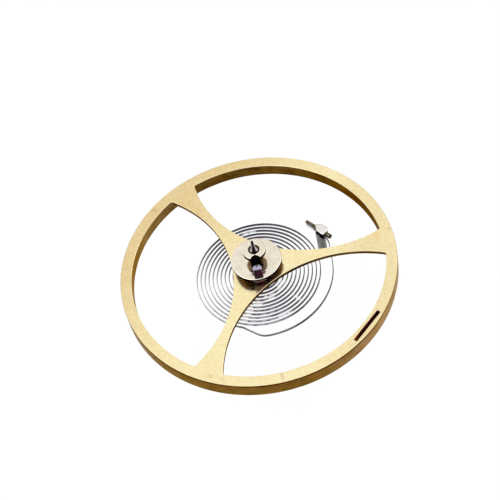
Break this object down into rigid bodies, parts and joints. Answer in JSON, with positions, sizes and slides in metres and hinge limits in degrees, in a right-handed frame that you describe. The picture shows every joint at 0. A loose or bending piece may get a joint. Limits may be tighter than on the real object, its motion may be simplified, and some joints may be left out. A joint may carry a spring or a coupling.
{
  "type": "watch balance wheel",
  "caption": "Gilt spoked balance with staff, double roller and impulse jewel, swinging on a flat coiled hairspring pinned to a drilled stud.",
  "frame": {"origin": "tip of the cock-side pivot, on the axis of the staff", "axes": "+Z along the staff from the cock-side pivot to the roller-side pivot, +X along one arm of the wheel, with the impulse jewel towards -Y"},
  "size_m": [0.01, 0.01, 0.0033],
  "materials": {
    "gilt_alloy": "pale gilt, fine matt grain",
    "staff_steel": "hardened steel, polished",
    "roller_steel": "flat polished, pale",
    "ruby": "polished synthetic ruby, deep purple red",
    "shellac": "glossy amber shellac",
    "collet_brass": "turned brass",
    "pin_brass": "dull dark brass",
    "spring_alloy": "drawn grey spring alloy ribbon",
    "stud_steel": "polished steel"
  },
  "bodies": {
    "stud_end": {"stud": "stud_steel", "stud_pin": "pin_brass", "hairspring": "spring_alloy"},
    "balance": {"balance_wheel": "gilt_alloy", "balance_staff": "staff_steel", "roller_table": "roller_steel", "safety_roller": "roller_steel", "impulse_jewel": "ruby", "shellac_bead": "shellac", "collet": "collet_brass", "collet_pin": "pin_brass"}
  },
  "joints": [
    {"name": "balance_swing", "type": "hinge", "parent": "stud_end", "child": "balance", "pos_m": [0, 0, 0], "axis": [0, 0, 1], "range_deg": [-300, 300], "stiffness_Nm_per_rad": 0.00000059, "deforming": ["hairspring"]}
  ]
}
